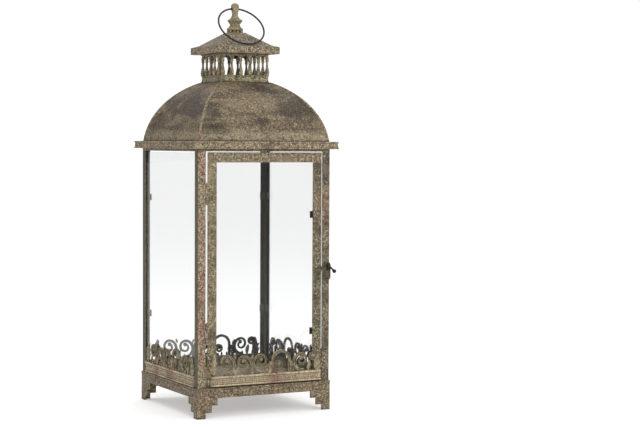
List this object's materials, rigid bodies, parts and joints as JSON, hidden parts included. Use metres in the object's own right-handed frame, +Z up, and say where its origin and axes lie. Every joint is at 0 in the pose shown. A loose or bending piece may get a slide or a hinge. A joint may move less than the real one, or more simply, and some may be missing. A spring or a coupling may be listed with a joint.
{
  "type": "candle lantern",
  "caption": "Tall square candle lantern with glass sides, a hinged glazed door with scrollwork, a domed lid, a pierced chimney gallery, a pyramid cap and a carrying ring.",
  "frame": {"origin": "middle of the footprint at the bottom of the feet", "axes": "+Z up, the door faces -Y, and +X is to the right of someone who looks at the door"},
  "size_m": [0.252, 0.252, 0.66],
  "materials": {
    "bronze_sheet": "weathered antique bronze, matt, with fine pale speckle and green and rust stains",
    "cast_ornament": "weathered antique bronze with green patina in the hollows, matt",
    "clear_glass": "clear, polished, faintly grey",
    "tab_metal": "thin painted sheet with a pinkish rust stain, matt",
    "black_iron": "blackened, satin, worn brighter where it is handled",
    "fastener_steel": "dull browned steel"
  },
  "bodies": {
    "lantern": {"base_skirt": "bronze_sheet", "cap_bridge": "bronze_sheet", "cap_fascia": "bronze_sheet", "cap_roof": "bronze_sheet", "cap_soffit": "bronze_sheet", "cornice": "bronze_sheet", "dome_panel_back": "bronze_sheet", "dome_panel_front": "bronze_sheet", "dome_panel_left": "bronze_sheet", "dome_panel_right": "bronze_sheet", "dome_seams": "bronze_sheet", "finial": "cast_ornament", "finial_nut": "fastener_steel", "finial_stud": "fastener_steel", "floor_plate": "bronze_sheet", "foot_back_left": "bronze_sheet", "foot_back_right": "bronze_sheet", "foot_front_left": "bronze_sheet", "foot_front_right": "bronze_sheet", "gallery_back": "cast_ornament", "gallery_front": "cast_ornament", "gallery_left": "cast_ornament", "gallery_right": "cast_ornament", "glass_back": "clear_glass", "glass_left": "clear_glass", "glass_right": "clear_glass", "glass_tabs_back": "tab_metal", "glass_tabs_left": "tab_metal", "glass_tabs_right": "tab_metal", "latch_pivot": "fastener_steel", "latch_plate": "bronze_sheet", "latch_rivets": "fastener_steel", "lower_hinge_pin": "fastener_steel", "lower_hinge_post_leaf": "bronze_sheet", "post_back_left": "bronze_sheet", "post_back_right": "bronze_sheet", "post_front_left": "bronze_sheet", "post_front_right": "bronze_sheet", "scroll_panel_back": "cast_ornament", "scroll_panel_left": "cast_ornament", "scroll_panel_right": "cast_ornament", "top_frame": "bronze_sheet", "upper_hinge_pin": "fastener_steel", "upper_hinge_post_leaf": "bronze_sheet", "vent_collar": "bronze_sheet"},
    "door": {"door_top_rail": "bronze_sheet", "door_bottom_rail": "bronze_sheet", "door_stile_hinge": "bronze_sheet", "door_stile_latch": "bronze_sheet", "door_scroll_panel": "cast_ornament", "door_glass": "clear_glass", "door_glass_tabs": "tab_metal", "upper_hinge_door_leaf": "bronze_sheet", "lower_hinge_door_leaf": "bronze_sheet", "door_keeper": "bronze_sheet", "keeper_rivets": "fastener_steel"},
    "latch": {"latch_lever": "black_iron"},
    "ring": {"carry_ring": "black_iron"}
  },
  "joints": [
    {"name": "door_hinge", "type": "hinge", "parent": "lantern", "child": "door", "pos_m": [-0.1007, -0.1164, 0.2425], "axis": [0, 0, -1], "range_deg": [0, 160]},
    {"name": "latch_turn", "type": "hinge", "parent": "lantern", "child": "latch", "pos_m": [0.1122, -0.1194, 0.2345], "axis": [0, 1, 0], "range_deg": [-60, 48]},
    {"name": "ring_swing", "type": "hinge", "parent": "lantern", "child": "ring", "pos_m": [0, 0, 0.6505], "axis": [-1, 0, 0], "range_deg": [0, 280]}
  ]
}
